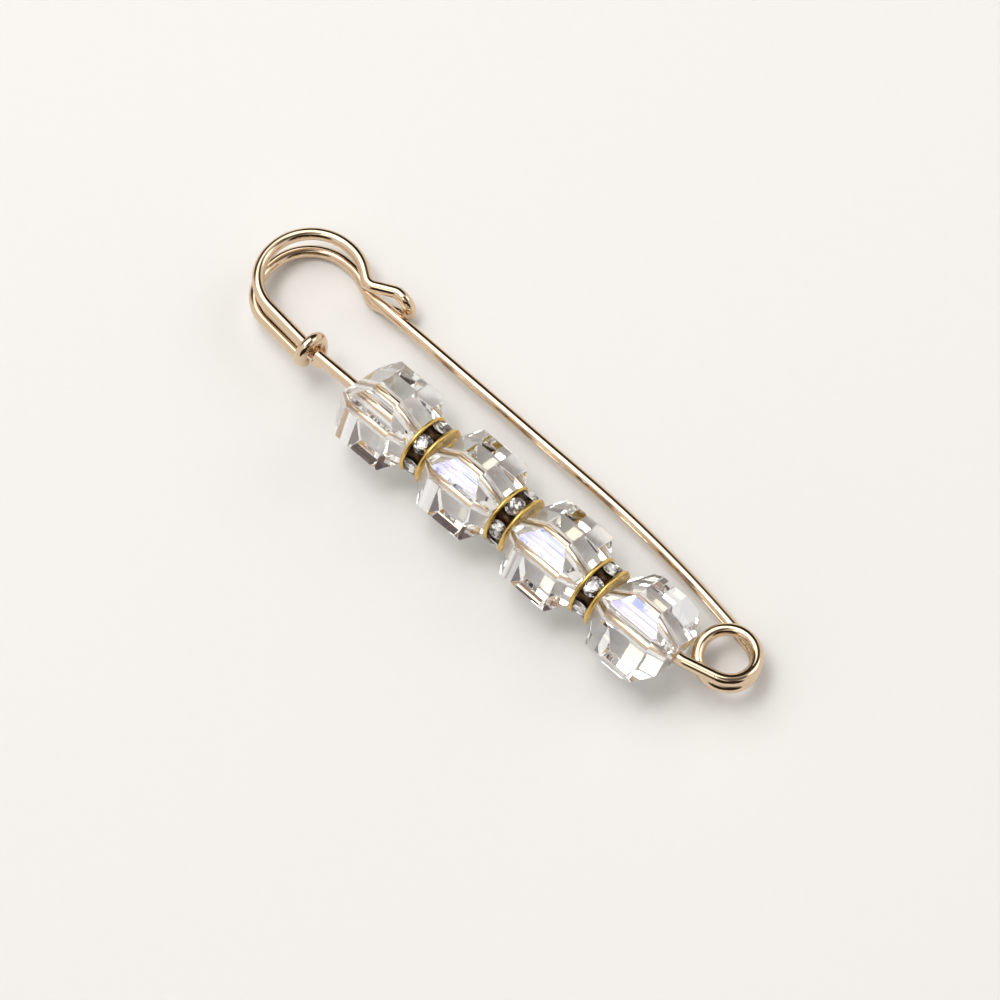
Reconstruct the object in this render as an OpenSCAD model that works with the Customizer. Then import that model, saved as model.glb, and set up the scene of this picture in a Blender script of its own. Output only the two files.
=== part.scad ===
// Safety pin brooch: one bent wire with a beaded bar, a spring coil, a needle and a looped catch.
// The brooch is laid out flat first, with the bar along X and the needle on its +Y side.
// It is then leaned about the bar until the head of the wire meets the table, as it lies at rest.
// Origin: bottom centre of the resting brooch, with X along the bar toward the coil and Z up.

/* [Wire] */
// Thickness of the wire
wire_d = 1.2; // [0.8:0.05:1.5]
// Gap between wires that lie over one another
wire_gap = 0.1; // [0.06:0.02:0.2]
// Gap where the coil meets the bar and the needle
cut_gap = 0.04; // [0.02:0.01:0.08]

/* [Beads] */
// Width of a cube bead, and its length along the bar
bead_w = 8; // [6:0.5:10]
// Width cut from each long edge of a bead
bead_bevel = 1.5; // [0.8:0.1:2]
// Width cut from the end edges of a bead's front and back faces
bead_end_bevel = 1.5; // [0.8:0.1:2]
// Width cut from the end edges of a bead's upper and lower faces
bead_top_bevel = 2.6; // [1.5:0.1:2.8]
// Free space between the wire and the hole of a bead or rondelle
hole_play = 0.15; // [0.1:0.05:0.3]
// Gap between neighbours on the bar
stack_gap = 0.05; // [0.03:0.01:0.1]
// Turn of each bead on the bar, measured from lying flat on a face
bead_turns = [29, 30, 32, 41]; // [0:1:90]

/* [Rondelles] */
// Width across a rondelle's gold discs
rondelle_d = 6.1; // [5:0.1:7]
// Thickness of a rondelle over both discs
rondelle_w = 2.3; // [1.8:0.1:3]
// Thickness of each gold disc
disc_t = 0.42; // [0.3:0.02:0.44]
// Depth of the dark channel below the rim of the discs
channel_depth = 0.75; // [0.6:0.05:0.8]
// Width of a rhinestone round the channel
stone_d = 1.96; // [1.6:0.02:2]
// Height by which a rhinestone stands above the channel
stone_h = 0.7; // [0.4:0.05:0.75]
// Turn of each rondelle on the bar, measured from a stone that faces the table
rondelle_turns = [23, 0, 23]; // [0:1:60]

/* [Bar] */
// Bare stretch of the bar between the collar and the first bead
bare_bar = 4.3; // [2:0.2:8]
// Distance from the last bead to the middle of the coil's wire
coil_room = 0.55; // [0.5:0.05:2.5]

/* [Coil] */
// Radius of the coil, to the middle of the wire
coil_r = 2.65; // [2.2:0.05:3.5]
// Distance that the coil's centre stands off the bar
coil_off = 3.45; // [3.3:0.05:3.8]
// Rise from one turn of the coil to the next
coil_pitch = 1.32; // [1.3:0.02:1.8]

/* [Head] */
// Distance from the collar to the far side of the head
head_len = 10.2; // [9.5:0.05:13]
// Width of the head, to the middle of the wire
head_w = 10.6; // [10:0.1:12]
// Bend radius of the head
head_r = 4.95; // [4:0.05:5]
// Rise of the wire from the bar to the side of the head
head_lift = 0.55; // [0.3:0.05:1]
// Amount by which the returning wire of the head lies nearer the bar than the first
return_inset = 0.35; // [0.1:0.05:0.5]
// Radius of the collar's turn round the bar
collar_r = 1.32; // [1.3:0.02:1.6]
// Angle that the collar's wire turns round the bar
collar_turn = 310; // [280:5:400]

/* [Catch] */
// Distance from the collar back to the notch in the head
notch_x = 0.9; // [0.5:0.1:2]
// Distance of the notch from the bar
notch_y = 8.8; // [8.6:0.05:9]
// Length of the catch past the notch
catch_len = 4.3; // [4:0.1:6]
// Distance that the fold of the catch stands beyond the notch
catch_out = 1.25; // [1.2:0.05:1.6]

/* [Needle] */
// Distance of the needle from the bar in the catch
needle_y = 8.62; // [8.5:0.02:8.8]
// Distance of the needle from the bar at its bend, near the coil
needle_bend_y = 8.15; // [7.8:0.05:8.4]
// Distance from the coil's centre to the needle's bend
needle_bend_x = 11; // [8:0.5:16]
// Bend radius of the needle, a slow bow
needle_bend_r = 120; // [40:5:140]
// Length of the needle that reaches past the collar
needle_past = 1.6; // [1.4:0.1:2.5]
// Length of the needle's sharpened end
point_len = 3.2; // [2:0.1:5]

/* [Hidden] */
$fn = 48;

GOLD = "#d9b98c";
RICH_GOLD = "#c79a4b";
CRYSTAL = "#e4e6e4";
CLEAR_STONE = "#eef0f2";

wire_r = wire_d / 2;
hole_r = wire_r + hole_play;
level = wire_d + wire_gap;

// Neighbouring lengths of wire differ by this radius, and overlap by this length.
seam = 0.01;
lap = 0.08;

// Beads and rondelles along the bar, where X starts at the first bead.
rondelle_room = rondelle_w + 2 * stack_gap;
bead_pitch = bead_w + rondelle_room;
stack_len = 4 * bead_w + 3 * rondelle_room;
function bead_x(i) = bead_w / 2 + i * bead_pitch;
function rondelle_x(i) = bead_w + rondelle_room / 2 + i * bead_pitch;

// Height of the bar over the table: each bead stands on its lowest long edge.
// A bead reaches as far sideways as it does down.
function bead_height(turn) = bead_w / 2 * cos(turn) + (bead_w / 2 - bead_bevel) * sin(turn);
bar_height = max([for (turn = bead_turns) max(bead_height(turn), bead_height(90 - turn))]);

// The coil turns left from the bar, sinks as it turns and leaves as the needle.
coil_x = stack_len + coil_r + coil_room;
bar_slope = 15;
coil_start = bar_slope - 90;
coil_entry = [coil_x + coil_r * cos(coil_start), coil_off + coil_r * sin(coil_start), 0];
bar_bend = [coil_entry.x - coil_entry.y / tan(bar_slope), 0, 0];

// The needle leaves the coil on a line that passes through its own bend.
needle_bend = [coil_x - needle_bend_x, needle_bend_y];
to_bend = needle_bend - [coil_x, coil_off];
coil_end = atan2(to_bend.y, to_bend.x) - acos(coil_r / norm(to_bend));
coil_turn = coil_end + 360 - coil_start;
coil_drop = coil_pitch * coil_turn / 360;
needle_root = [coil_x + coil_r * cos(coil_end), coil_off + coil_r * sin(coil_end), -coil_drop];

// The collar, and the head's corners on the upper level.
collar_x = -bare_bar - wire_r - level;
far_x = collar_x - head_len;
leg_angle = atan(head_lift / (head_len - head_r));
leg_rise = head_len * tan(leg_angle);
notch = [collar_x - notch_x, notch_y];
notch_slope = 35;
shoulder_x = notch.x - (head_w - notch.y) / tan(notch_slope);
fold = [notch.x + catch_len, notch.y + catch_out];
catch_brow = [fold.x - 1.35 * level, fold.y + 0.08 * catch_out];

// The head's corners on the lower level, under the needle and back to the collar.
low = -2 * level;
low_far_x = far_x + return_inset / 3;
low_top = head_w - return_inset;
low_notch = [notch.x + 0.17 * catch_len, notch.y];
low_shoulder_x = low_notch.x - (low_top - low_notch.y) / tan(23);
collar_start = -150;
near_step = 0.16 * level;
far_step = 2 * level - near_step;
collar_lead = 1.1;
collar_point = [collar_r * cos(collar_start), collar_r * sin(collar_start)];
collar_corner = [
    collar_x,
    collar_point.x - collar_lead * sin(collar_start),
    collar_point.y + collar_lead * cos(collar_start)
];

// Lean of the brooch: the lower wire of the head comes down to the table.
lean = asin((bar_height - wire_r) / norm([low_top, low])) - atan2(-low, low_top);

// The origin is the middle of the resting brooch, seen from above.
x_min = far_x - wire_r;
x_max = coil_x + coil_r + wire_r;
y_min = -bar_height;
y_max = head_w * cos(lean) + wire_r;

// Corner points of a route keep [x, y, z, bend radius].
function point(row) = [row.x, row.y, row.z];
function unit(v) = v / norm(v);
function turn_between(a, b) = acos(max(-1, min(1, a * b)));

// A straight wire from one point to another.
module straight(from, to, r) {
    d = to - from;
    translate(from)
        rotate([0, atan2(norm([d.x, d.y]), d.z), atan2(d.y, d.x)])
            cylinder(h = norm(d), r = r);
}

// A round bend at a corner between two directions, tangent to both.
module bend(corner, a, b, bend_r, r) {
    angle = turn_between(a, b);
    side = unit(b - a);
    axis = unit(cross(a, b));
    centre = corner + side * bend_r / cos(angle / 2);
    start = corner - a * bend_r * tan(angle / 2) - centre;
    u = unit(start);
    multmatrix([
        [u.x, cross(axis, u).x, axis.x, centre.x],
        [u.y, cross(axis, u).y, axis.y, centre.y],
        [u.z, cross(axis, u).z, axis.z, centre.z],
        [0, 0, 0, 1]
    ])
        rotate_extrude(angle = angle)
            translate([bend_r, 0])
                circle(r = r);
}

// A wire that follows a route of corner points, each rounded by its own bend radius.
// The straight lengths are a hair thinner than the bends and reach a little way into them.
module wire_route(route, r) {
    n = len(route);
    dirs = [for (i = [0 : n - 2]) unit(point(route[i + 1]) - point(route[i]))];
    function cut(i) = (i == 0 || i == n - 1)
        ? 0
        : route[i][3] * tan(turn_between(dirs[i - 1], dirs[i]) / 2) - lap;
    for (i = [0 : n - 2])
        straight(
            point(route[i]) + dirs[i] * cut(i),
            point(route[i + 1]) - dirs[i] * cut(i + 1),
            r - seam
        );
    for (i = [1 : n - 2])
        bend(point(route[i]), dirs[i - 1], dirs[i], route[i][3], r);
}

// Turns of wire round Z, sinking by one pitch a turn. Each half turn is a tilted half ring.
// Every second half turn is a hair thinner and reaches a little way into its neighbours.
module turns(turn_r, pitch, start, sweep, r, first_thin) {
    halves = ceil(sweep / 180);
    tilt = atan(pitch / (4 * turn_r));
    reach = lap / turn_r * 180 / PI;
    for (i = [0 : halves - 1]) {
        thin = (i + first_thin) % 2;
        part = min(180, sweep - 180 * i) + thin * (i == halves - 1 ? 1 : 2) * reach;
        translate([0, 0, -pitch / 4 - i * pitch / 2])
            rotate([0, 0, start + 180 * i])
                rotate([0, -tilt, 0])
                    rotate([0, 0, -thin * reach])
                        rotate_extrude(angle = part)
                            translate([turn_r / cos(tilt), 0])
                                circle(r = r - thin * seam);
    }
}

// A cube bead with all its edges cut away, drilled along the bar.
module crystal_bead(i) {
    h = bead_w / 2;
    face = h - bead_bevel;
    end_face = h - bead_end_bevel;
    top_face = h - bead_top_bevel;
    difference() {
        translate([bead_x(i), 0, 0])
            rotate([lean - bead_turns[i], 0, 0])
                intersection() {
                    cube(bead_w, center = true);
                    rotate([0, 90, 0])
                        bevel_prism(h, face);
                    bevel_prism(h, end_face);
                    rotate([90, 0, 0])
                        bevel_prism(h, top_face);
                }
        translate([bead_x(i), 0, 0])
            rotate([0, 90, 0])
                cylinder(h = bead_w + 1, r = hole_r, center = true);
    }
}

// A square bar along Z with its four long edges cut away.
module bevel_prism(h, face) {
    linear_extrude(height = 4 * h, center = true)
        polygon([
            [h, -face], [h, face], [face, h], [-face, h],
            [-h, face], [-h, -face], [-face, -h], [face, -h]
        ]);
}

// Sets a flat shape upright on the bar, so that its Z runs along the bar.
module on_bar(x) {
    translate([x, 0, 0])
        rotate([0, 90, 0])
            children();
}

channel_r = rondelle_d / 2 - channel_depth;

// Clearance between a rhinestone and its seat.
seat_gap = 0.03;
seat_depth = stone_h / 2;
channel_w = rondelle_w - 2 * disc_t;
STONES = 6;

// A rondelle: two gold discs on a hub that is drilled for the wire and the rhinestones.
module rondelle(i) {
    on_bar(rondelle_x(i))
        difference() {
            rotate_extrude()
                polygon([
                    [hole_r, -rondelle_w / 2],
                    [rondelle_d / 2 - disc_t / 3, -rondelle_w / 2],
                    [rondelle_d / 2, -rondelle_w / 2 + disc_t / 3],
                    [rondelle_d / 2, -rondelle_w / 2 + disc_t],
                    [channel_r + seat_depth, -rondelle_w / 2 + disc_t],
                    [channel_r + seat_depth, rondelle_w / 2 - disc_t],
                    [rondelle_d / 2, rondelle_w / 2 - disc_t],
                    [rondelle_d / 2, rondelle_w / 2 - disc_t / 3],
                    [rondelle_d / 2 - disc_t / 3, rondelle_w / 2],
                    [hole_r, rondelle_w / 2]
                ]);
            for (k = [1 : STONES])
                stone_place(i, k)
                    translate([0, 0, -seat_gap])
                        between_discs(channel_w)
                            cylinder(h = rondelle_d, r = stone_d / 2 + seat_gap);
        }
}

// A place on the floor of a rondelle's channel, with Z pointing out and Y along the channel.
module stone_place(i, k) {
    rotate([0, 0, rondelle_turns[i] + 360 / STONES * (k - 1)])
        rotate([0, 90, 0])
            translate([0, 0, channel_r])
                children();
}

// Keeps what fits across the channel.
module between_discs(width) {
    intersection() {
        children();
        cube([width, rondelle_d, 3 * rondelle_d], center = true);
    }
}

// A rhinestone: a girdle, eight crown facets and a flat table, with its sides cut to the channel.
module rhinestone(i, k) {
    girdle = stone_h * 0.45;
    on_bar(rondelle_x(i))
        stone_place(i, k)
            between_discs(channel_w - 2 * seat_gap) {
                cylinder(h = girdle, r = stone_d / 2, $fn = 8);
                translate([0, 0, girdle])
                    cylinder(h = stone_h - girdle, r1 = stone_d / 2, r2 = stone_d * 0.3, $fn = 8);
            }
}

// The beaded bar, the head, the catch, the returning wire and the collar, all one wire.
module frame_wire_flat() {
    wire_route([
        [coil_entry.x - cut_gap, coil_entry.y - cut_gap * tan(bar_slope), 0, 0],
        [bar_bend.x, bar_bend.y, 0, 3],
        [collar_x, 0, 0, 4],
        [far_x, leg_rise, 0, head_r],
        [far_x, head_w, 0, head_r],
        [shoulder_x, head_w, 0, head_r],
        [notch.x, notch.y, 0, 0.9],
        [catch_brow.x, catch_brow.y, 0, 1.2],
        [fold.x, fold.y, 0, level - lap],
        [fold.x, fold.y, low, level - lap],
        [low_notch.x, low_notch.y, low, 1.6],
        [low_shoulder_x, low_top, low, head_r],
        [low_far_x, low_top, low, head_r],
        [low_far_x, leg_rise - return_inset, low, head_r - return_inset],
        [collar_corner.x, collar_corner.y, collar_corner.z, 0.8],
        [collar_x, collar_point.x, collar_point.y, 0]
    ], wire_r);
    translate([collar_x, 0, 0])
        rotate([0, -90, 0])
            turns(collar_r, near_step, 90 - collar_start, 180, wire_r, 0);
    translate([collar_x + near_step / 2, 0, 0])
        rotate([0, -90, 0])
            turns(collar_r, far_step, 270 - collar_start, collar_turn - 180, wire_r, 1);
}

module spring_coil_flat() {
    translate([coil_x, coil_off, 0])
        turns(coil_r, coil_pitch, coil_start, coil_turn, wire_r, 0);
}

module needle_flat() {
    tip = [collar_x - needle_past, needle_y + 0.1, -level];
    bent = [needle_bend.x, needle_bend.y, -coil_drop + (coil_drop - level) * 0.25];
    dir = unit(tip - bent);
    lead = unit(bent - needle_root);
    wire_route([
        [needle_root.x + lead.x * cut_gap, needle_root.y + lead.y * cut_gap, needle_root.z, 0],
        [bent.x, bent.y, bent.z, needle_bend_r],
        [tip.x - dir.x * point_len, tip.y - dir.y * point_len, tip.z - dir.z * point_len, 0]
    ], wire_r);
    translate(tip - dir * point_len)
        rotate([0, atan2(norm([dir.x, dir.y]), dir.z), atan2(dir.y, dir.x)])
            rotate_extrude()
                polygon([
                    [0, -2 * lap], [wire_r, -2 * lap], [wire_r, lap],
                    [wire_r * 0.84, point_len * 0.4], [wire_r * 0.5, point_len * 0.78],
                    [0.1, point_len], [0, point_len]
                ]);
}

// Puts a flat-laid piece at rest: leaned about the bar, at the bar's height, over the origin.
module at_rest() {
    translate([-(x_min + x_max) / 2, -(y_min + y_max) / 2, bar_height])
        rotate([-lean, 0, 0])
            children();
}

module frame_wire() { color(GOLD) at_rest() frame_wire_flat(); }
module spring_coil() { color(GOLD) at_rest() spring_coil_flat(); }
module needle() { color(GOLD) at_rest() needle_flat(); }
module bead(i) { color(CRYSTAL) at_rest() crystal_bead(i); }
module rondelle_set(i) { color(RICH_GOLD) at_rest() rondelle(i); }
module stone(i, k) { color(CLEAR_STONE) at_rest() rhinestone(i, k); }

frame_wire();
spring_coil();
needle();
bead(0);  // crystal_bead_1
bead(1);  // crystal_bead_2
bead(2);  // crystal_bead_3
bead(3);  // crystal_bead_4
rondelle_set(0);  // rondelle_1
rondelle_set(1);  // rondelle_2
rondelle_set(2);  // rondelle_3
stone(0, 1);  // rhinestone_1_1
stone(0, 2);  // rhinestone_1_2
stone(0, 3);  // rhinestone_1_3
stone(0, 4);  // rhinestone_1_4
stone(0, 5);  // rhinestone_1_5
stone(0, 6);  // rhinestone_1_6
stone(1, 1);  // rhinestone_2_1
stone(1, 2);  // rhinestone_2_2
stone(1, 3);  // rhinestone_2_3
stone(1, 4);  // rhinestone_2_4
stone(1, 5);  // rhinestone_2_5
stone(1, 6);  // rhinestone_2_6
stone(2, 1);  // rhinestone_3_1
stone(2, 2);  // rhinestone_3_2
stone(2, 3);  // rhinestone_3_3
stone(2, 4);  // rhinestone_3_4
stone(2, 5);  // rhinestone_3_5
stone(2, 6);  // rhinestone_3_6
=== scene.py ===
import math
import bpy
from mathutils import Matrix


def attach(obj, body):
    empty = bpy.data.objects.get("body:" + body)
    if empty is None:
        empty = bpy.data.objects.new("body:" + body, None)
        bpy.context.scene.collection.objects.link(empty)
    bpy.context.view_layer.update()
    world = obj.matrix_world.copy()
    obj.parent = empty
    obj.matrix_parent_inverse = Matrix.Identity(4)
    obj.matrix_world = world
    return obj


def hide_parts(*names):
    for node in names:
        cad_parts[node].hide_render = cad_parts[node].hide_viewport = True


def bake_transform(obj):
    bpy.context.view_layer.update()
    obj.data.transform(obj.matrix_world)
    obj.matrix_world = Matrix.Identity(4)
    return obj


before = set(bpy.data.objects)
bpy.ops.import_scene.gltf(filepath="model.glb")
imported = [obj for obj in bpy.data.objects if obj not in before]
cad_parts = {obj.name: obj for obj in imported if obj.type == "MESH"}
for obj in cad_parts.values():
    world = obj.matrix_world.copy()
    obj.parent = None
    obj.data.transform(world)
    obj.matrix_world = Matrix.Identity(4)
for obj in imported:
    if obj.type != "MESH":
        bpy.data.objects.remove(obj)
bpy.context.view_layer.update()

from types import SimpleNamespace

import bmesh
import bpy
import numpy as np
from mathutils import Matrix, Vector

bl_info = {
    "name": "Safety pin brooch",
    "version": (1, 0, 0),
    "blender": (4, 5, 0),
    "location": "3D View > Sidebar > Brooch",
    "description": "A kilt pin with four crystal cubes and three rhinestone rondelles",
    "category": "Object",
}

MM = 0.001
BEADS = 4
RONDELLES = 3
STONES = 6

# Corners round the surface of a wire
WIRE_SIDES = 40

# Points nearer to one another than this are one point
ONE_POINT = 1e-7


# Sizes and colours that a user can change


def length(name, description, millimetres):
    """A size that is edited in metres and written here in millimetres."""
    return bpy.props.FloatProperty(
        name=name,
        description=description,
        default=millimetres * MM,
        min=0.0,
        precision=5,
        unit="LENGTH",
    )


def angle(name, description, degrees):
    """An angle that is edited in radians and written here in degrees."""
    return bpy.props.FloatProperty(
        name=name, description=description, default=math.radians(degrees), unit="ROTATION"
    )


def colour(name, description, red, green, blue):
    """A linear colour."""
    return bpy.props.FloatVectorProperty(
        name=name,
        description=description,
        default=(red, green, blue),
        size=3,
        min=0.0,
        max=1.0,
        subtype="COLOR",
    )


class BroochWire(bpy.types.PropertyGroup):
    """Sizes of the one wire that the pin is bent from."""

    thickness: length("Thickness", "Thickness of the wire", 1.2)
    gap: length("Gap", "Gap between wires that lie over one another", 0.1)
    metal: colour("Metal", "Colour of the plated wire", 0.735, 0.565, 0.395)


class BroochBeads(bpy.types.PropertyGroup):
    """Sizes of the cube beads on the bar."""

    width: length("Width", "Width of a cube bead", 8.0)
    bevel: length("Bevel", "Width cut from each long edge of a bead", 1.5)
    end_bevel: length("End bevel", "Width cut from the end edges of the front and back faces", 1.5)
    top_bevel: length("Top bevel", "Width cut from the end edges of the upper and lower faces", 2.6)
    hole_play: length("Hole play", "Free space between the wire and the hole", 0.15)
    stack_gap: length("Stack gap", "Gap between neighbours on the bar", 0.05)
    polish: length("Polish", "Rounding that polishing leaves on the facet edges", 0.05)
    turns: bpy.props.FloatVectorProperty(
        name="Turns",
        description="Turn of each bead on the bar, from lying flat on a face",
        default=[math.radians(a) for a in (29, 30, 32, 41)],
        size=4,
        unit="ROTATION",
    )
    glass: colour("Glass", "Colour of the clear crystal", 0.985, 0.985, 0.98)


class BroochRondelles(bpy.types.PropertyGroup):
    """Sizes of the rondelles and their rhinestones."""

    width: length("Width", "Width across a rondelle's gold discs", 6.1)
    thickness: length("Thickness", "Thickness of a rondelle over both discs", 2.3)
    disc: length("Disc", "Thickness of each gold disc", 0.42)
    channel: length("Channel", "Depth of the dark channel below the rim", 0.75)
    stone_width: length("Stone width", "Width of a rhinestone round the channel", 1.96)
    stone_height: length("Stone height", "Height of a rhinestone above the channel", 0.7)
    turns: bpy.props.FloatVectorProperty(
        name="Turns",
        description="Turn of each rondelle on the bar, from a stone that faces the table",
        default=[math.radians(a) for a in (23, 0, 23)],
        size=3,
        unit="ROTATION",
    )
    metal: colour("Metal", "Colour of the yellow gold discs", 0.83, 0.56, 0.17)
    # Painted shade: the channel between the stones is gold in deep shade, and this near-black colour
    # paints that shade
    channel_painted_shade: colour("Enamel", "Colour of the dark channel between the stones", 0.05, 0.022, 0.006)
    stone: colour("Stone", "Colour of the rhinestones", 0.97, 0.97, 0.97)


class BroochForm(bpy.types.PropertyGroup):
    """Sizes of the bar, the coil, the head, the catch and the needle."""

    bare_bar: length("Bare bar", "Bare stretch between the collar and the first bead", 4.3)
    coil_room: length("Coil room", "Distance from the last bead to the coil's wire", 0.55)
    coil_radius: length("Coil radius", "Radius of the coil, to the middle of the wire", 2.65)
    coil_off: length("Coil offset", "Distance of the coil's centre from the bar", 3.45)
    coil_pitch: length("Coil pitch", "Rise from one turn of the coil to the next", 1.32)
    head_length: length("Head length", "Distance from the collar to the far side", 10.2)
    head_width: length("Head width", "Width of the head, to the middle of the wire", 10.6)
    head_radius: length("Head radius", "Bend radius of the head", 4.95)
    head_lift: length("Head lift", "Rise of the wire from the bar to the head's side", 0.55)
    return_inset: length("Return inset", "How far the returning wire lies inside", 0.35)
    collar_radius: length("Collar radius", "Radius of the collar round the bar", 1.32)
    collar_turn: angle("Collar turn", "Angle that the collar winds round the bar", 310)
    notch_back: length("Notch back", "Distance from the collar back to the notch", 0.9)
    notch_out: length("Notch out", "Distance of the notch from the bar", 8.8)
    catch_length: length("Catch length", "Length of the catch past the notch", 4.3)
    catch_out: length("Catch out", "How far the fold stands beyond the notch", 1.25)
    needle_out: length("Needle out", "Distance of the needle from the bar in the catch", 8.62)
    bend_out: length("Bend out", "Distance of the needle from the bar at its bend", 8.15)
    bend_back: length("Bend back", "Distance from the coil's centre to the bend", 11.0)
    bend_radius: length("Bend radius", "Bend radius of the needle, a slow bow", 120.0)
    needle_past: length("Needle past", "Length of the needle past the collar", 1.6)
    point: length("Point", "Length of the needle's sharpened end", 3.2)


# The plan of the brooch, laid flat as in the CAD source, with X along the bar from the first bead


def unit(v):
    """A direction of length one."""
    return v / np.linalg.norm(v)


def toward(turn):
    """The flat direction at an angle: (cos turn, sin turn)."""
    return np.array([math.cos(turn), math.sin(turn)])


def layout(scene):
    """Works out where everything lies, from the sizes of the scene."""
    plan = SimpleNamespace(
        wire=scene.brooch_wire, beads=scene.brooch_beads,
        rondelles=scene.brooch_rondelles, form=scene.brooch_form,
    )
    plan.radius = plan.wire.thickness / 2
    plan.hole = plan.radius + plan.beads.hole_play
    plan.level = plan.wire.thickness + plan.wire.gap
    lay_bar(plan)
    lay_coil(plan)
    lay_head(plan)
    lay_needle(plan)
    lay_down(plan)
    return plan


def lay_bar(plan):
    """Places the beads and rondelles on the bar, and finds how high the beads' lowest edges hold it."""
    beads = plan.beads
    room = plan.rondelles.thickness + 2 * beads.stack_gap
    pitch = beads.width + room
    plan.stack = BEADS * beads.width + RONDELLES * room
    plan.bead_x = [beads.width / 2 + i * pitch for i in range(BEADS)]
    plan.rondelle_x = [beads.width + room / 2 + i * pitch for i in range(RONDELLES)]

    def reach(turn):
        """Depth of a cut edge below the bar: half * cos turn + (half - bevel) * sin turn."""
        return beads.width / 2 * math.cos(turn) + (beads.width / 2 - beads.bevel) * math.sin(turn)

    plan.bar_height = max(max(reach(t), reach(math.pi / 2 - t)) for t in beads.turns)


def lay_coil(plan):
    """Places the coil: the bar slopes into its first turn, and the needle leaves its last at a tangent."""
    form = plan.form
    slope = math.radians(15)
    centre = np.array([plan.stack + form.coil_radius + form.coil_room, form.coil_off])
    plan.coil_start = slope - math.pi / 2
    entry = centre + form.coil_radius * toward(plan.coil_start)
    plan.entry = np.array([entry[0], entry[1], 0.0])
    plan.bar_bend = np.array([entry[0] - entry[1] / math.tan(slope), 0.0, 0.0])
    plan.needle_bend = np.array([centre[0] - form.bend_back, form.bend_out])
    to_bend = plan.needle_bend - centre
    end = math.atan2(to_bend[1], to_bend[0]) - math.acos(form.coil_radius / np.linalg.norm(to_bend))
    plan.coil_sweep = end + 2 * math.pi - plan.coil_start
    plan.coil_drop = form.coil_pitch * plan.coil_sweep / (2 * math.pi)
    root = centre + form.coil_radius * toward(end)
    plan.root = np.array([root[0], root[1], -plan.coil_drop])
    plan.coil_centre = centre


def lay_head(plan):
    """Lays the frame's wire: bar, head, notch, fold of the catch, returning wire and collar.

    Each row of the route is a corner and the radius of the bend there. The fold leads down two
    levels of wire, so that the needle has the level between them.
    """
    form, level = plan.form, plan.level
    shoulder_slope, low_slope = math.radians(35), math.radians(23)
    brow_back, brow_out = 1.35 * level, 0.08 * form.catch_out
    low_catch = 0.17 * form.catch_length
    fold_radius = level - 0.08 * MM
    turn_in, lead_in = math.radians(-150), 1.1 * MM

    plan.collar_x = -form.bare_bar - plan.radius - level
    far = plan.collar_x - form.head_length
    rise = form.head_length * form.head_lift / (form.head_length - form.head_radius)
    notch = np.array([plan.collar_x - form.notch_back, form.notch_out])
    shoulder = notch[0] - (form.head_width - notch[1]) / math.tan(shoulder_slope)
    fold = notch + np.array([form.catch_length, form.catch_out])
    low = -2 * level
    low_far = far + form.return_inset / 3
    low_top = form.head_width - form.return_inset
    low_notch = notch[0] + low_catch
    low_shoulder = low_notch - (low_top - notch[1]) / math.tan(low_slope)
    ring = form.collar_radius * toward(turn_in)
    corner = ring + lead_in * np.array([-math.sin(turn_in), math.cos(turn_in)])
    plan.frame_route = [
        (plan.entry, 0),
        (plan.bar_bend, 3 * MM),
        ((plan.collar_x, 0, 0), 4 * MM),
        ((far, rise, 0), form.head_radius),
        ((far, form.head_width, 0), form.head_radius),
        ((shoulder, form.head_width, 0), form.head_radius),
        ((notch[0], notch[1], 0), 0.9 * MM),
        ((fold[0] - brow_back, fold[1] + brow_out, 0), 1.2 * MM),
        ((fold[0], fold[1], 0), fold_radius),
        ((fold[0], fold[1], low), fold_radius),
        ((low_notch, notch[1], low), 1.6 * MM),
        ((low_shoulder, low_top, low), form.head_radius),
        ((low_far, low_top, low), form.head_radius),
        ((low_far, rise - form.return_inset, low), form.head_radius - form.return_inset),
        ((plan.collar_x, corner[0], corner[1]), 0.8 * MM),
        ((plan.collar_x, ring[0], ring[1]), 0),
    ]
    plan.far, plan.low, plan.low_top = far, low, low_top


def lay_needle(plan):
    """Lays the needle from the coil through one slow bow to its point, between the wires of the catch."""
    form = plan.form
    climb = (plan.coil_drop - plan.level) * 0.25
    spread = 0.1 * MM
    bow = np.array([*plan.needle_bend, -plan.coil_drop + climb])
    tip = np.array([plan.collar_x - form.needle_past, form.needle_out + spread, -plan.level])
    plan.needle_route = [(plan.root, 0), (bow, form.bend_radius), (tip, 0)]


def lay_down(plan):
    """Leans the flat pin about the bar until the head's lower wire meets the table, and centres it.

    The lean is asin(height of the bar's wire / distance of the lower wire from the bar), less the
    angle at which the lower wire hangs below the bar.
    """
    form = plan.form
    hangs = math.atan2(-plan.low, plan.low_top)
    plan.lean = math.asin((plan.bar_height - plan.radius) / math.hypot(plan.low_top, plan.low)) - hangs
    x_range = (plan.far - plan.radius, plan.coil_centre[0] + form.coil_radius + plan.radius)
    y_range = (-plan.bar_height, form.head_width * math.cos(plan.lean) + plan.radius)
    plan.to_rest = (
        Matrix.Translation((-sum(x_range) / 2, -sum(y_range) / 2, plan.bar_height))
        @ Matrix.Rotation(-plan.lean, 4, "X")
    )


# Lines, tubes and meshes


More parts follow.
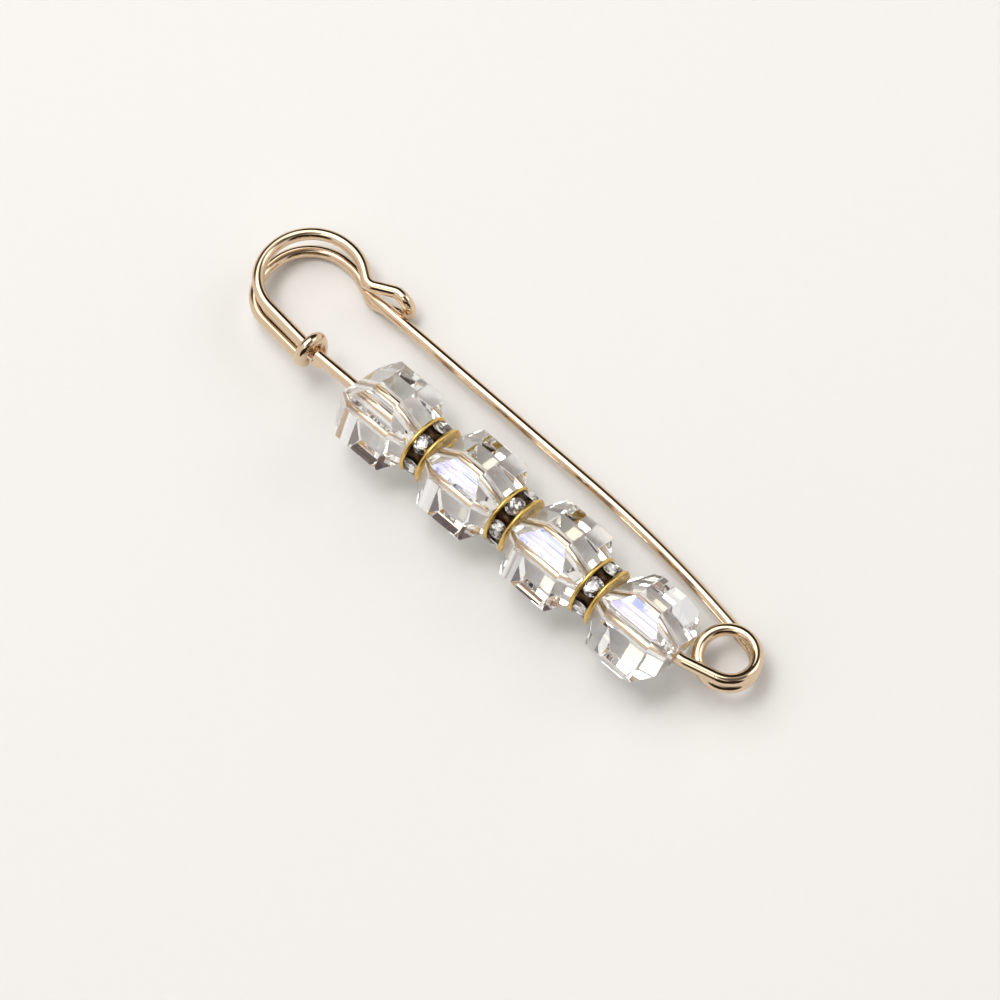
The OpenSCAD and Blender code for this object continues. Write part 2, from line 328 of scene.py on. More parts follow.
def curve_through(route, step):
    """A line through corners, each rounded by an arc tangent to both of its legs.

    An arc of radius r at a corner with directions a and b starts r * tan(half the turn) before
    the corner. Its points are centre + r * (cos t * out + sin t * a), where t runs from 0 to the turn.
    """
    fewest = 6
    corners = [np.array(p, float) for p, _ in route]
    ways = [unit(q - p) for p, q in zip(corners, corners[1:])]
    pieces = [corners[0][None]]
    for i in range(1, len(route) - 1):
        a, b, r = ways[i - 1], ways[i], route[i][1]
        turn = math.acos(np.clip(a @ b, -1, 1))
        out = unit(a - b)
        centre = corners[i] - out * r / math.cos(turn / 2)
        start = corners[i] - a * r * math.tan(turn / 2) - centre
        t = np.linspace(0, turn, max(fewest, int(r * turn / step)))[:, None]
        pieces.append(centre + np.cos(t) * start + r * np.sin(t) * a)
    pieces.append(corners[-1][None])
    line = [pieces[0]]
    for piece in pieces[1:]:
        gap = np.linalg.norm(piece[0] - line[-1][-1])
        n = max(2, int(gap / step))
        t = np.linspace(0, 1, n + 1)[1:-1, None]
        line.append(line[-1][-1] * (1 - t) + piece[0] * t)
        line.append(piece)
    points = np.concatenate(line)
    keep = np.r_[True, np.linalg.norm(np.diff(points, axis=0), axis=1) > ONE_POINT]
    return points[keep]


def squared_ends(points, radius, first, last):
    """Ends a line in flat faces with rounded edges, of one size at its start and another at its end.

    Over the last stretch of length edge the radius is radius - edge + edge * sin t, where the
    distance from the end is edge * (1 - cos t).
    """
    clear, steps = 1.2, 6
    t = np.linspace(0, math.pi / 2, steps)
    inward, outward = unit(points[1] - points[0]), unit(points[-1] - points[-2])
    from_first = np.linalg.norm(points - points[0], axis=1)
    from_last = np.linalg.norm(points - points[-1], axis=1)
    body = points[(from_first > clear * first) & (from_last > clear * last)]
    line = np.concatenate([
        points[0] + inward * first * (1 - np.cos(t))[:, None],
        body,
        points[-1] - outward * last * (1 - np.cos(t))[::-1, None],
    ])
    narrow = 1 - np.sin(t)
    return line, np.concatenate([
        radius - first * narrow, np.full(len(body), radius), radius - last * narrow[::-1]
    ])


def tube(points, radii, across):
    """The corners of a tube round a line: point + radius * (cos a * u + sin a * v).

    u is square to the line and to the fixed direction across, v to both.
    """
    along = np.gradient(points, axis=0)
    along /= np.linalg.norm(along, axis=1)[:, None]
    u = np.cross(along, across)
    u /= np.linalg.norm(u, axis=1)[:, None]
    v = np.cross(along, u)
    a = np.linspace(0, 2 * math.pi, WIRE_SIDES, endpoint=False)
    ring = np.cos(a)[None, :, None] * u[:, None] + np.sin(a)[None, :, None] * v[:, None]
    return points[:, None] + np.asarray(radii)[:, None, None] * ring


def grid_faces(rows, columns, closed_rows=False):
    """Corner numbers of the quads of a grid whose columns close on themselves."""
    i = np.arange(rows if closed_rows else rows - 1)[:, None]
    j = np.arange(columns)[None]
    i2, j2 = (i + 1) % rows, (j + 1) % columns
    quads = np.stack([i * columns + j, i * columns + j2, i2 * columns + j2, i2 * columns + j], -1)
    return quads.reshape(-1, 4)


def put_mesh(name, points, quads, triangles, finishes, to_rest, smooth=True, wrap=None, slots=None):
    """Makes an object from arrays of corners, quads and triangles, with its place at rest in its mesh."""
    mesh = bpy.data.meshes.new(name)
    quads, triangles = np.asarray(quads, int).reshape(-1, 4), np.asarray(triangles, int).reshape(-1, 3)
    mesh.from_pydata(np.asarray(points, float).reshape(-1, 3), [], [*quads.tolist(), *triangles.tolist()])
    mesh.transform(to_rest)
    faces = len(mesh.polygons)
    mesh.polygons.foreach_set("use_smooth", np.broadcast_to(smooth, faces).astype(bool))
    if wrap is not None:
        layer = mesh.uv_layers.new(name="wrap")
        corner = np.zeros(len(mesh.loops), np.int32)
        mesh.loops.foreach_get("vertex_index", corner)
        layer.data.foreach_set("uv", np.asarray(wrap, np.float32)[corner].ravel())
    for finish in finishes:
        mesh.materials.append(finish)
    if slots is not None:
        mesh.polygons.foreach_set("material_index", np.asarray(slots, np.int32))
    mesh.update()
    piece = bpy.data.objects.new(name, mesh)
    bpy.context.scene.collection.objects.link(piece)
    return piece


def face_outwards(piece):
    """Turns all faces of a closed piece outwards."""
    mesh = bmesh.new()
    mesh.from_mesh(piece.data)
    bmesh.ops.recalc_face_normals(mesh, faces=mesh.faces)
    mesh.to_mesh(piece.data)
    mesh.free()


def put_wire(plan, name, points, radii, across):
    """A length of the plated wire: a tube whose ends close in a fan round one point each.

    Its wrap map is the distance along the wire in millimetres, and the share of the way round it,
    which runs up to one and back again so that the pattern meets itself.
    """
    rows = len(points)
    corners = np.concatenate([tube(points, radii, across).reshape(-1, 3), points[:1], points[-1:]])
    j = np.arange(WIRE_SIDES)
    k = (j + 1) % WIRE_SIDES
    start, end = rows * WIRE_SIDES, rows * WIRE_SIDES + 1
    last = (rows - 1) * WIRE_SIDES
    fans = np.concatenate([
        np.stack([np.full(WIRE_SIDES, start), k, j], -1),
        np.stack([np.full(WIRE_SIDES, end), last + j, last + k], -1),
    ])
    travelled = np.r_[0, np.cumsum(np.linalg.norm(np.diff(points, axis=0), axis=1))]
    wrap = np.stack([
        np.concatenate([np.repeat(travelled, WIRE_SIDES), travelled[:1], travelled[-1:]]) / MM,
        np.concatenate([np.tile(np.abs(j / WIRE_SIDES * 2 - 1), rows), [0.5, 0.5]]),
    ], -1)
    finish = plated_wire(tuple(plan.wire.metal))
    return put_mesh(name, corners, grid_faces(rows, WIRE_SIDES), fans, [finish], plan.to_rest, wrap=wrap)


# Finishes


class Value:
    """One socket of a finish. Arithmetic on it adds Math nodes."""

    def __init__(self, finish, socket):
        self.finish, self.socket = finish, socket

    def _math(self, operation, *values, clamp=False):
        return self.finish.add(
            "ShaderNodeMath", {"operation": operation, "use_clamp": clamp}, dict(enumerate(values))
        )

    def __add__(self, other):
        return self._math("ADD", self, other)

    def __sub__(self, other):
        return self._math("SUBTRACT", self, other)

    def __rsub__(self, other):
        return self._math("SUBTRACT", other, self)

    def __mul__(self, other):
        return self._math("MULTIPLY", self, other)

    __radd__, __rmul__ = __add__, __mul__

    def clamped(self):
        """Keeps the value between 0 and 1."""
        return self._math("ADD", self, 0.0, clamp=True)


class Finish:
    """The nodes of a material or a world, added one at a time."""

    def __init__(self, owner):
        self.owner = owner
        owner.use_nodes = True
        self.tree = owner.node_tree
        self.tree.nodes.clear()

    def add(self, kind, settings, sockets, out=0):
        """Adds a node of a kind, with its settings first and then its socket values or links."""
        node = self.tree.nodes.new(kind)
        for key, value in settings.items():
            setattr(node, key, value)
        for key, value in sockets.items():
            socket = node.inputs[key]
            if isinstance(value, Value):
                self.tree.links.new(value.socket, socket)
            elif socket.type == "RGBA":
                socket.default_value = (*value, 1.0)
            else:
                socket.default_value = value
        return None if out is None else Value(self, node.outputs[out])

    def out(self, value, name):
        """Another output of the node that a value comes from."""
        return Value(self, value.socket.node.outputs[name])

    def mix(self, share, first, second):
        """Mixes two colours by a share. Sockets 6 and 7 are the colours, and output 2 is the mix."""
        return self.add("ShaderNodeMix", {"data_type": "RGBA"}, {0: share, 6: first, 7: second}, out=2)

    def object_place(self):
        """The place on the piece, in metres."""
        return self.add("ShaderNodeTexCoord", {}, {}, out="Object")

    def noise(self, place, scale, detail=2.0, roughness=0.5):
        """Noise with a scale in features per metre."""
        sockets = {"Vector": place, "Scale": scale, "Detail": detail, "Roughness": roughness}
        return self.add("ShaderNodeTexNoise", {}, sockets)

    def bump(self, height, distance, strength):
        """A normal tilted by a height, which stands for this distance in metres."""
        sockets = {"Height": height, "Distance": distance, "Strength": strength}
        return self.add("ShaderNodeBump", {}, sockets, out="Normal")

    def step(self, value, start, end):
        """Rises smoothly from 0 at start to 1 at end."""
        sockets = {"Value": value, "From Min": start, "From Max": end}
        return self.add("ShaderNodeMapRange", {"interpolation_type": "SMOOTHSTEP"}, sockets)

    def surface(self, sockets):
        """Ends a material in a Principled shader with these socket values."""
        shader = self.add("ShaderNodeBsdfPrincipled", {}, sockets)
        self.add("ShaderNodeOutputMaterial", {}, {"Surface": shader}, out=None)
        return self.owner

    def background(self, sockets):
        """Ends a world in a Background shader with these socket values."""
        shader = self.add("ShaderNodeBackground", {}, sockets)
        self.add("ShaderNodeOutputWorld", {}, {"Surface": shader}, out=None)
        return self.owner


def shade(colour_value, factor):
    """A colour made lighter or darker by a factor."""
    return tuple(min(1.0, c * factor) for c in colour_value)


def made(name, build):
    """Returns the material of this name, and builds it the first time."""
    return bpy.data.materials.get(name) or build(Finish(bpy.data.materials.new(name)))


def plated_wire(metal):
    """Polished plated wire: fine lines drawn along it and faint clouding."""

    def build(m):
        along, round_it = 0.35, 60.0
        cloud = m.noise(m.object_place(), 260.0, 3.0)
        wrap = m.add("ShaderNodeUVMap", {"uv_map": "wrap"}, {})
        lines = m.add("ShaderNodeMapping", {}, {"Vector": wrap, "Scale": (along, round_it, 1.0)})
        drawn = m.noise(lines, 1.0, 3.0, 0.6)
        return m.surface({
            "Base Color": m.mix((cloud - 0.35) * 1.6, metal, shade(metal, 1.07)),
            "Metallic": 1.0,
            "Roughness": (0.05 + 0.04 * cloud + 0.03 * drawn).clamped(),
            "Normal": m.bump(drawn, 0.0005 * MM, 0.1),
        })

    return made("plated_wire", build)


def cut_crystal(glass):
    """Clear cut crystal under a thin rainbow coat, as smooth as polish leaves it."""

    def build(m):
        cloud = m.noise(m.object_place(), 180.0, 2.0)
        return m.surface({
            "Base Color": m.mix(cloud, glass, shade(glass, 0.985)),
            "Roughness": ((cloud - 0.6) * 0.02).clamped(),
            "Transmission Weight": 1.0,
            "IOR": 1.54,
            "Thin Film Thickness": 172.0,
            "Thin Film IOR": 1.72,
        })

    return made("cut_crystal", build)


def rich_gold(metal):
    """Yellow gold plate of the discs, faintly clouded and finely pitted."""

    def build(m):
        place = m.object_place()
        cloud = m.noise(place, 700.0, 3.0)
        fine = m.noise(place, 6000.0, 2.0)
        return m.surface({
            "Base Color": m.mix(cloud, metal, shade(metal, 0.86)),
            "Metallic": 1.0,
            "Roughness": (0.2 + 0.1 * cloud + 0.05 * fine).clamped(),
            "Normal": m.bump(fine, 0.003 * MM, 0.3),
        })

    return made("rich_gold", build)


def painted_shade_channel(channel_painted_shade, metal):
    """The channel between the stones, painted near black as the shade in its deep recess, with random
    spots of metal darkened by half.
    """

    def build(m):
        cloud = m.noise(m.object_place(), 1500.0, 4.0)
        spots = ((cloud - 0.62) * 6.0).clamped()
        return m.surface({
            # Painted shade: a near-black colour for the shaded gold, and in the spots the metal darkened
            # by half
            "Base Color": m.mix(spots, channel_painted_shade, shade(metal, 0.5)),
            "Metallic": 0.6,
            "Roughness": (0.3 + 0.25 * cloud).clamped(),
            "Normal": m.bump(cloud, 0.03 * MM, 0.6),
        })

    return made("painted_shade_channel", build)


def stone_glass(stone):
    """Clear glass of a rhinestone's crown."""

    def build(m):
        cloud = m.noise(m.object_place(), 900.0, 2.0)
        return m.surface({
            "Base Color": m.mix(cloud, stone, shade(stone, 0.96)),
            "Roughness": (0.01 + 0.02 * cloud).clamped(),
            "Transmission Weight": 1.0,
            "IOR": 1.6,
        })

    return made("stone_glass", build)


def stone_foil():
    """Silver foil behind a rhinestone, in small flat patches of which some have gone dark."""
    silver, tarnish = (0.97, 0.96, 0.95), (0.16, 0.13, 0.11)

    def build(m):
        place = m.object_place()
        cloud = m.noise(place, 2500.0, 3.0)
        patches = m.add("ShaderNodeTexVoronoi", {}, {"Vector": place, "Scale": 2300.0}, out="Color")
        dull = m.step(m.add("ShaderNodeSeparateColor", {}, {"Color": patches}), 0.45, 0.7)
        return m.surface({
            "Base Color": m.mix(dull, silver, tarnish),
            "Metallic": 1.0,
            "Roughness": (0.05 + 0.1 * cloud).clamped(),
        })

    return made("stone_foil", build)


def table_paper():
    """Pale matt paper with a faint grain."""
    light, lighter = (0.84, 0.825, 0.80), (0.855, 0.84, 0.815)

    def build(m):
        grain = m.noise(m.object_place(), 900.0, 4.0)
        return m.surface({"Base Color": m.mix(grain, light, lighter), "Roughness": 0.9})

    return made("table_paper", build)


# Pieces

# A direction that no stretch of the frame's wire follows, so that the corners round it never twist
ACROSS = unit(np.array([0.35, 0.62, 0.7]))
UPRIGHT = np.array([0, 0, 1.0])

# Rounding of the edges where frame, coil and needle meet, and at the wire's free end
JOINT_EDGE = 0.004 * MM
FREE_EDGE = 0.12 * MM


def put_frame_wire(plan):
    """The frame's whole wire: its route of straights and arcs, and then the collar's turns.

    A turn of the collar is (pitch, radius * sin a, radius * cos a), eased along the bar by
    (1 - cos) of the angle within each half turn.
    """
    form = plan.form
    route = curve_through(plan.frame_route, 0.12 * MM)
    near = 0.16 * plan.level
    far = 2 * plan.level - near
    start, steps = math.radians(240), 120
    a = np.linspace(0, form.collar_turn, steps)
    first = np.minimum(a, math.pi)
    rest = np.maximum(a - math.pi, 0)
    pitch = near / 4 * (1 - np.cos(first)) + far / 4 * (1 - np.cos(rest))
    collar = np.stack([
        plan.collar_x + pitch,
        form.collar_radius * np.sin(start + a),
        form.collar_radius * np.cos(start + a),
    ], -1)
    line = np.concatenate([route, collar[1:]])
    line, radii = squared_ends(line, plan.radius, JOINT_EDGE, FREE_EDGE)
    return put_wire(plan, "pin_wire", line, radii, ACROSS)


def put_coil(plan):
    """The spring coil: (radius * cos a, radius * sin a, -drop * s), a helix that eases in and out.

    s is the integral of a speed that rises over the first part of the turn and falls over the last.
    """
    radius, ease, steps = plan.form.coil_radius, 0.09, 420
    t = np.linspace(0, 1, steps)
    speed = np.clip(np.minimum(t, 1 - t) / ease, 0, 1)
    speed = speed * speed * (3 - 2 * speed)
    s = np.r_[0, np.cumsum((speed[1:] + speed[:-1]) / 2)]
    s /= s[-1]
    a = plan.coil_start + t * plan.coil_sweep
    line = np.stack([
        plan.coil_centre[0] + radius * np.cos(a),
        plan.coil_centre[1] + radius * np.sin(a),
        -plan.coil_drop * s,
    ], -1)
    line, radii = squared_ends(line, plan.radius, JOINT_EDGE, JOINT_EDGE)
    return put_wire(plan, "coil_wire", line, radii, UPRIGHT)


def put_needle(plan):
    """The needle: a line with one slow bow, whose radius falls along its sharpened end.

    The radius is the wire's times a thickness read off at shares of the sharpened length.
    """
    shares = [0, 0.4, 0.78, 0.97, 1.0]
    thickness = np.array([1, 0.84, 0.5, 0.17, 0.06])
    line = curve_through(plan.needle_route, 0.25 * MM)
    from_tip = np.linalg.norm(line - line[-1], axis=1)
    share = np.clip(1 - from_tip / plan.form.point, 0, 1)
    radii = np.interp(share, shares, thickness * plan.radius)
    return put_wire(plan, "needle_wire", line, radii, UPRIGHT)


def bead_outlines(beads):
    """The eight-sided outlines of a cut cube, one at each distance along the bar where a facet begins.

    At a distance x from the middle the outline is a box of half sizes min(half, front - x) and
    min(half, top - x), with its corners cut where |y| + |z| passes across.
    """
    half = beads.width / 2
    across, front, top = (beads.width - cut for cut in (beads.bevel, beads.end_bevel, beads.top_bevel))
    apex = min(half + top - across, half + front - across, (front + top - across) / 2)
    places = np.array(sorted({half, apex, front - half, top - half}))
    x = np.concatenate([-places[::-1], places])
    y, z = np.minimum(half, front - abs(x)), np.minimum(half, top - abs(x))
    y_flat, z_flat = np.minimum(y, across - z), np.minimum(z, across - y)
    corners = np.stack([
        np.stack([y, -z_flat], -1), np.stack([y, z_flat], -1),
        np.stack([y_flat, z], -1), np.stack([-y_flat, z], -1),
        np.stack([-y, z_flat], -1), np.stack([-y, -z_flat], -1),
        np.stack([-y_flat, -z], -1), np.stack([y_flat, -z], -1),
    ], 1)
    return np.concatenate([np.broadcast_to(x[:, None, None], (len(x), 8, 1)), corners], -1)


def bead_surface(beads, hole):
    """A cut cube with a drilled hole: outlines joined by quads, and a circle at each end of the hole.

    Each of the eight corners at an end fans out to its share of the circle's points, which are
    hole * (cos a, sin a) at even angles. The faces of the hole's wall come first.
    """
    sides, share = 8, 8
    outlines = bead_outlines(beads)
    rows, n = len(outlines), sides * share
    a = np.arange(n) * 2 * math.pi / n + math.atan2(outlines[rows // 2, 0, 2], outlines[rows // 2, 0, 1])
    circle = hole * np.stack([np.cos(a), np.sin(a)], -1)
    ends = [np.column_stack([np.full(n, x), circle]) for x in (-beads.width / 2, beads.width / 2)]
    points = np.concatenate([outlines.reshape(-1, 3), *ends])
    j, corner = np.arange(n), np.arange(sides)
    k, next_corner = (j + 1) % n, (corner + 1) % sides
    rim = sides * rows
    fans = []
    for row, start in ((0, rim), (rim - sides, rim + n)):
        fans.append(np.stack([row + j // share, start + j, start + k], -1))
        fans.append(np.stack([row + corner, start + share * (corner + 1) % n, row + next_corner], -1))
    bore = rim + np.stack([j, k, n + k, n + j], -1)
    return points, np.concatenate([bore, grid_faces(rows, sides)]), np.concatenate(fans), n


def put_bead(plan, i):
    """One cube bead, turned on the bar, with whole flat facets and polished edges."""
    beads = plan.beads
    points, quads, triangles, bore = bead_surface(beads, plan.hole)
    matrix = (
        plan.to_rest
        @ Matrix.Translation((plan.bead_x[i], 0, 0))
        @ Matrix.Rotation(plan.lean - beads.turns[i], 4, "X")
    )
    smooth = np.arange(len(quads) + len(triangles)) < bore
    finish = cut_crystal(tuple(beads.glass))
    piece = put_mesh(f"cube_bead_{i + 1}", points, quads, triangles, [finish], matrix, smooth=smooth)
    join_facets(piece, matrix, plan.hole)
    face_outwards(piece)
    polish = piece.modifiers.new("polish", "BEVEL")
    polish.width = beads.polish
    polish.segments = 2
    polish.limit_method = "ANGLE"
    polish.angle_limit = math.radians(25)
    polish.use_clamp_overlap = False
    return piece


def join_facets(piece, matrix, hole):
    """Joins the faces of each flat facet of a bead into one, and leaves the wall of its hole alone."""
    beyond_hole = 1.2 * hole
    mesh = bmesh.new()
    mesh.from_mesh(piece.data)
    bmesh.ops.remove_doubles(mesh, verts=mesh.verts, dist=ONE_POINT)
    bmesh.ops.dissolve_degenerate(mesh, edges=mesh.edges, dist=ONE_POINT)
    middle, along = matrix.translation, matrix.to_3x3().col[0]
    outer = [v for v in mesh.verts if (v.co - middle).cross(along).length > beyond_hole]
    known = set(outer)
    edges = [e for e in mesh.edges if e.verts[0] in known and e.verts[1] in known]
    bmesh.ops.dissolve_limit(mesh, angle_limit=math.radians(1), verts=outer, edges=edges)
    mesh.to_mesh(piece.data)
    mesh.free()


def put_rondelle(plan, i):
    """A rondelle turned from one profile round the bar: two discs with round rims, and a channel whose
    dark colour is painted shade.

    Round a rim the profile is (middle + bead * sin t, outer - bead + bead * cos t), with t from
    -90 to 90 degrees. The channel's floor rises by rise * |sin(3 (a - turn))| ** 6 between stones.
    """
    sizes = plan.rondelles
    rises, sharpness = (0.75, 0.45, 0.75), 6
    rim_steps, n = 13, 144
    outer, half, floor = sizes.width / 2, sizes.thickness / 2, sizes.width / 2 - sizes.channel
    bead = sizes.disc / 2
    t = np.linspace(-math.pi / 2, math.pi / 2, rim_steps)
    rims = [
        np.stack([middle + bead * np.sin(t), outer - bead + bead * np.cos(t)], -1)
        for middle in (bead - half, half - bead)
    ]
    walls = [2 * bead - half, 0, half - 2 * bead]
    x = np.concatenate([[-half], rims[0][:, 0], walls, rims[1][:, 0], [half]])
    a = np.linspace(0, 2 * math.pi, n, endpoint=False)
    between = np.abs(np.sin(STONES / 2 * (a - sizes.turns[i]))) ** sharpness
    ground = [floor + between * rise * sizes.stone_height for rise in rises]
    radius = np.stack([
        np.broadcast_to(value, n)
        for value in (plan.hole, *rims[0][:, 1], *ground, *rims[1][:, 1], plan.hole)
    ])
    rings = np.stack([
        np.broadcast_to(x[:, None], radius.shape), radius * np.sin(a), -radius * np.cos(a)
    ], -1)
    rows = len(x)
    row = np.arange(rows)
    in_channel = np.repeat((row >= rim_steps) & (row <= rim_steps + len(walls)), n)
    # The channel's faces take the finish with painted shade
    finishes = [rich_gold(tuple(sizes.metal)), painted_shade_channel(tuple(sizes.channel_painted_shade), tuple(sizes.metal))]
    matrix = plan.to_rest @ Matrix.Translation((plan.rondelle_x[i], 0, 0))
    quads = grid_faces(rows, n, closed_rows=True)
    piece = put_mesh(f"gold_rondelle_{i + 1}", rings, quads, [], finishes, matrix, slots=in_channel)
    face_outwards(piece)
    return piece


def put_stone(plan, i, k):
    """A rhinestone: rings of sixteen points from the foil's point up to the eight-sided table.

    Each level is (height, radius at the eight corners, radius between them), as shares of the
    stone's height and half width. A point of it is (radius * cos a, radius * sin a, height), and
    the sides are cut flat to fit between the discs.
    """
    sizes = plan.rondelles
    levels = np.array([
        (0.04, 0.22, 0.22), (0.36, 0.90, 0.90), (0.45, 1.0, 1.0), (0.52, 1.0, 1.0),
        (0.78, 0.76, 0.80), (1.0, 0.56, 0.52),
    ])
    high, point = sizes.stone_height, 0.02
    room = sizes.thickness / 2 - sizes.disc - 0.03 * MM
    n, rows = 16, len(levels)
    j = np.arange(n)
    a = j * 2 * math.pi / n
    radius = sizes.stone_width / 2 * np.where(j % 2 == 0, levels[:, 1:2], levels[:, 2:3])
    rings = np.stack([
        np.clip(radius * np.cos(a), -room, room),
        radius * np.sin(a),
        np.broadcast_to(high * levels[:, :1], radius.shape),
    ], -1)
    corners = np.concatenate([rings.reshape(-1, 3), [[0, 0, high * point], [0, 0, high]]])
    top = (rows - 1) * n
    fans = np.concatenate([
        np.stack([np.full(n, rows * n), (j + 1) % n, j], -1),
        np.stack([np.full(n, rows * n + 1), top + j, top + (j + 1) % n], -1),
    ])
    foil = np.r_[np.ones(n, bool), np.zeros((rows - 2) * n, bool), np.ones(n, bool), np.zeros(n, bool)]
    matrix = (
        plan.to_rest
        @ Matrix.Translation((plan.rondelle_x[i], 0, 0))
        @ Matrix.Rotation(math.pi / 2, 4, "Y")
        @ Matrix.Rotation(sizes.turns[i] + k * 2 * math.pi / STONES, 4, "Z")
        @ Matrix.Rotation(math.pi / 2, 4, "Y")
        @ Matrix.Translation((0, 0, sizes.width / 2 - sizes.channel))
    )
    finishes = [stone_glass(tuple(sizes.stone)), stone_foil()]
    piece = put_mesh(
        f"stone_{i + 1}_{k + 1}", corners, grid_faces(rows, n), fans, finishes, matrix,
        smooth=False, slots=foil,
    )
    face_outwards(piece)
    return piece


# Stage


def studio_walls():
    """The room round the table: even warm walls, with dark places that show as bands on the wire.

    They lie by the camera, low down behind the head, beyond the needle and in front of the bar.
    """
    pale, dim = (0.86, 0.84, 0.815), (0.03, 0.022, 0.016)
    world = bpy.data.worlds.new("studio")
    m = Finish(world)
    way = m.add("ShaderNodeTexCoord", {}, {}, out="Generated")
    high = m.out(m.add("ShaderNodeSeparateXYZ", {}, {"Vector": way}), "Z")

    def near(direction, wide, narrow):
        """1 within narrow degrees of a direction, falling smoothly to 0 at wide degrees."""
        sockets = {0: way, 1: tuple(unit(np.array(direction)))}
        close = m.add("ShaderNodeVectorMath", {"operation": "DOT_PRODUCT"}, sockets, out="Value")
        return m.step(close, math.cos(math.radians(wide)), math.cos(math.radians(narrow)))

    by_camera = near((0.36, 0.16, 0.92), 30, 19)
    behind = near((-0.82, 0.50, 0.12), 52, 36) * m.step(high, 0.82, 0.72) * m.step(high, -0.3, -0.1)
    beyond = near((-0.32, 0.76, 0.57), 27, 19)
    in_front = near((0.82, -0.37, 0.43), 29, 22) + near((0.49, -0.75, 0.44), 29, 22)
    dark = (0.84 * by_camera + 0.92 * (behind + beyond) + in_front).clamped()
    return m.background({"Color": m.mix(dark, pale, dim), "Strength": 1.0})


def soft_light(name, place, size, radiance):
    """A soft box of a size at a place, turned to the brooch, as bright as its radiance says."""
    data = bpy.data.lights.new(name, "AREA")
    data.shape, data.size, data.size_y = "RECTANGLE", *size
    data.energy = radiance * math.pi * size[0] * size[1]
    lamp = bpy.data.objects.new(name, data)
    bpy.context.scene.collection.objects.link(lamp)
    turn = (-Vector(place)).to_track_quat("-Z", "Y").to_matrix().to_4x4()
    lamp.matrix_world = Matrix.Translation(place) @ turn


def put_table():
    """The pale table that the brooch lies on."""
    half = 1.5
    mesh = bpy.data.meshes.new("table")
    corners = [(-half, -half, 0), (half, -half, 0), (half, half, 0), (-half, half, 0)]
    mesh.from_pydata(corners, [], [(0, 1, 2, 3)])
    mesh.materials.append(table_paper())
    table = bpy.data.objects.new("table", mesh)
    bpy.context.scene.collection.objects.link(table)
    return table


def put_camera():
    """The camera at the photograph's angle, from its place and the ways that are right, up and back."""
    data = bpy.data.cameras.new("camera")
    data.lens, data.sensor_width = 108.82, 36.0
    camera = bpy.data.objects.new("camera", data)
    bpy.context.scene.collection.objects.link(camera)
    place = Vector((0.08006776, -0.06460285, 0.26195658))
    right = Vector((0.73642809, 0.67402008, -0.05805686))
    up = Vector((-0.61606102, 0.70360561, 0.35412987))
    back = Vector((0.27953977, -0.22502461, 0.93339244))
    camera.matrix_world = Matrix.Translation(place) @ Matrix((right, up, back)).transposed().to_4x4()
    return camera


# Operators, panel and registration


class BROOCH_OT_frame_wire(bpy.types.Operator):
    """Makes the frame's wire: bar, head, catch, return and collar"""

    bl_idname = "brooch.frame_wire"
    bl_label = "Frame wire"

    def execute(self, context):
        piece = put_frame_wire(layout(context.scene))
        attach(piece, "pin_frame")
        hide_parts("frame_wire")
        return {"FINISHED"}


class BROOCH_OT_coil(bpy.types.Operator):
    """Makes the spring coil between the frame and the needle"""

    bl_idname = "brooch.coil"
    bl_label = "Spring coil"

    def execute(self, context):
        plan = layout(context.scene)
        piece = put_coil(plan)
        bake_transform(piece)
        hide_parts("spring_coil")
        return {"FINISHED"}


class BROOCH_OT_needle(bpy.types.Operator):
    """Makes the needle with its sharpened end"""

    bl_idname = "brooch.needle"
    bl_label = "Needle"

    def execute(self, context):
        piece = put_needle(layout(context.scene))
        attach(piece, "needle")
        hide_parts("needle")
        return {"FINISHED"}


class BROOCH_OT_beads(bpy.types.Operator):
    """Makes the four crystal cubes on the bar"""

    bl_idname = "brooch.beads"
    bl_label = "Crystal beads"

    def execute(self, context):
        plan = layout(context.scene)
        for i in range(BEADS):
            piece = put_bead(plan, i)
            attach(piece, "pin_frame")
            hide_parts(f"crystal_bead_{i + 1}")
        return {"FINISHED"}


class BROOCH_OT_rondelles(bpy.types.Operator):
    """Makes the three rondelles"""

    bl_idname = "brooch.rondelles"
    bl_label = "Rondelles"

    def execute(self, context):
        plan = layout(context.scene)
        for i in range(RONDELLES):
            piece = put_rondelle(plan, i)
            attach(piece, "pin_frame")
            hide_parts(f"rondelle_{i + 1}")
        return {"FINISHED"}


class BROOCH_OT_stones(bpy.types.Operator):
    """Makes the six rhinestones of each rondelle"""

    bl_idname = "brooch.stones"
    bl_label = "Rhinestones"

    def execute(self, context):
        plan = layout(context.scene)
        for i in range(RONDELLES):
            for k in range(STONES):
                piece = put_stone(plan, i, k)
                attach(piece, "pin_frame")
                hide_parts(f"rhinestone_{i + 1}_{k + 1}")
        return {"FINISHED"}


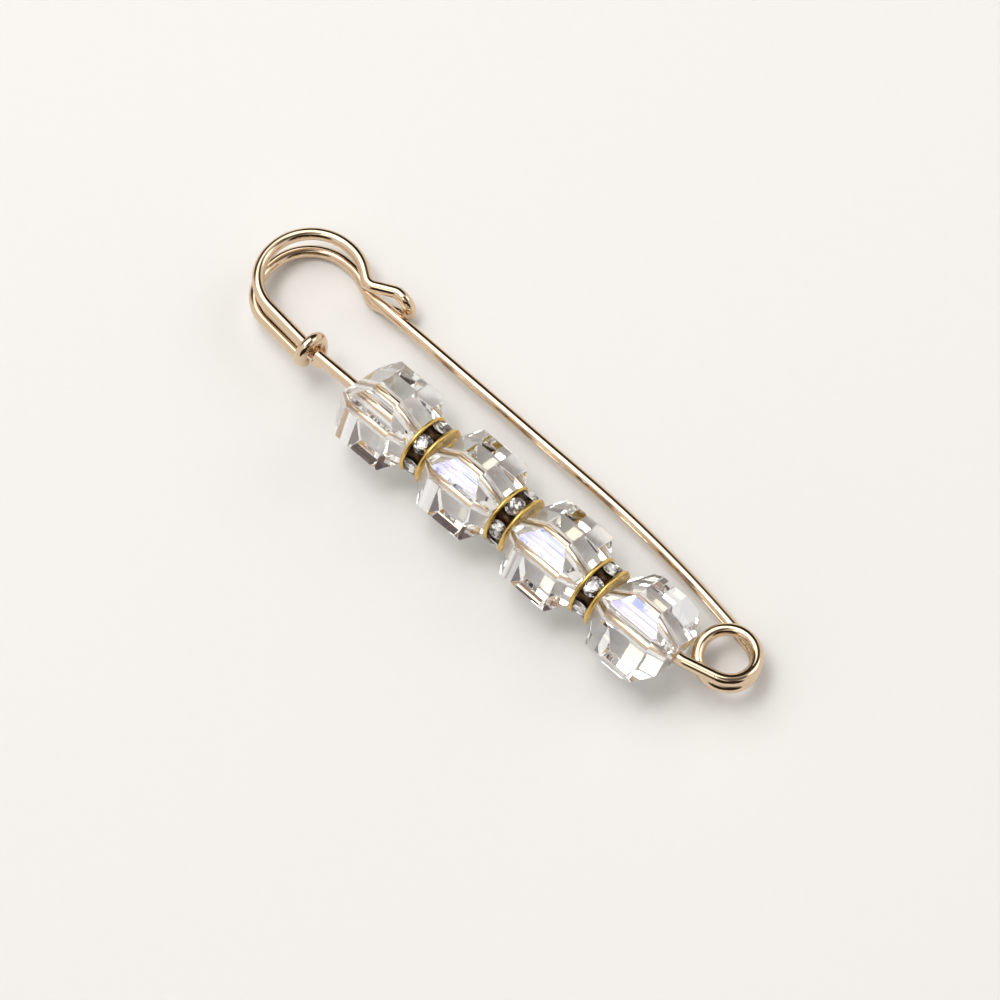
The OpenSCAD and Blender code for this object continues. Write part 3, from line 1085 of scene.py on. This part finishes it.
class BROOCH_OT_stage(bpy.types.Operator):
    """Makes the pale table, the soft lights and the camera"""

    bl_idname = "brooch.stage"
    bl_label = "Stage"

    def execute(self, context):
        scene = context.scene
        put_table()
        scene.world = studio_walls()
        soft_light("big_window", (-0.33, 0.11, 0.71), (0.66, 0.76), 1.7)
        soft_light("top_window", (-0.17, -0.03, 0.68), (0.325, 0.17), 6.6)
        soft_light("side_window", (0.36, 0.62, 0.56), (0.38, 0.38), 1.5)
        soft_light("small_window", (0.07, -0.30, 0.62), (0.12, 0.12), 2.0)
        scene.camera = put_camera()

        # Light crosses many facets inside a bead before it leaves
        scene.cycles.max_bounces = 24
        scene.cycles.glossy_bounces = 16
        scene.cycles.transmission_bounces = 16
        scene.view_settings.view_transform = "Standard"
        return {"FINISHED"}


class BROOCH_PT_panel(bpy.types.Panel):
    """Sizes, colours and steps of the brooch"""

    bl_idname = "BROOCH_PT_panel"
    bl_label = "Safety pin brooch"
    bl_space_type = "VIEW_3D"
    bl_region_type = "UI"
    bl_category = "Brooch"

    def draw(self, context):
        for group in GROUPS:
            box = self.layout.box()
            values = getattr(context.scene, group)
            for name in values.__annotations__:
                box.prop(values, name)
        for operator in STEPS:
            self.layout.operator(operator.bl_idname)


GROUPS = {
    "brooch_wire": BroochWire,
    "brooch_beads": BroochBeads,
    "brooch_rondelles": BroochRondelles,
    "brooch_form": BroochForm,
}
STEPS = (
    BROOCH_OT_frame_wire,
    BROOCH_OT_coil,
    BROOCH_OT_needle,
    BROOCH_OT_beads,
    BROOCH_OT_rondelles,
    BROOCH_OT_stones,
    BROOCH_OT_stage,
)
CLASSES = (*GROUPS.values(), *STEPS, BROOCH_PT_panel)


def register():
    """Registers the classes, and gives the scene its groups of sizes."""
    for cls in CLASSES:
        bpy.utils.register_class(cls)
    for name, group in GROUPS.items():
        setattr(bpy.types.Scene, name, bpy.props.PointerProperty(type=group))


def unregister():
    """Takes the groups and the classes away again."""
    for name in GROUPS:
        delattr(bpy.types.Scene, name)
    for cls in reversed(CLASSES):
        bpy.utils.unregister_class(cls)


def main():
    """Makes every piece and the stage."""
    register()
    bpy.ops.brooch.frame_wire()
    bpy.ops.brooch.coil()
    bpy.ops.brooch.needle()
    bpy.ops.brooch.beads()
    bpy.ops.brooch.rondelles()
    bpy.ops.brooch.stones()
    bpy.ops.brooch.stage()


if __name__ == "__main__":
    main()
